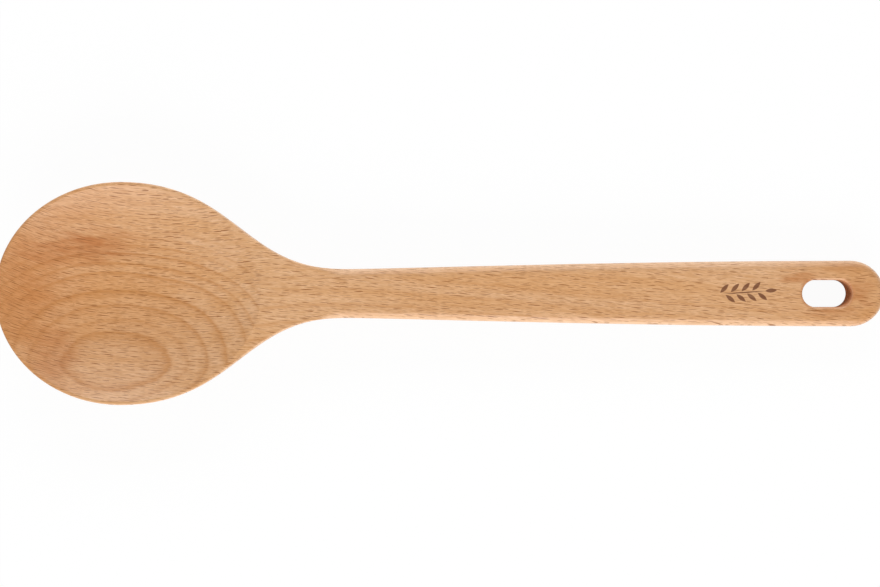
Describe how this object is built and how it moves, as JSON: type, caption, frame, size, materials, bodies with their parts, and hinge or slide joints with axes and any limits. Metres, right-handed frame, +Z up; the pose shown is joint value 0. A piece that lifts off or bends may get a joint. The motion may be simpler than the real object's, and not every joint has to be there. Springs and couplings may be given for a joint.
{
  "type": "wooden spoon",
  "caption": "One-piece wooden cooking spoon with a broad shallow round bowl, a flared neck and a flat, rounded handle that widens to a slotted end for hanging.",
  "frame": {"origin": "middle of the spoon's length and width, on the table that the belly and the heel of the handle rest on", "axes": "+X along the spoon from the tip of the bowl to the end of the handle, +Z up, out of the hollow side"},
  "size_m": [0.2998, 0.0752, 0.0161],
  "materials": {
    "beech": "satin"
  },
  "bodies": {
    "root": {"spoon": "beech"}
  },
  "joints": []
}
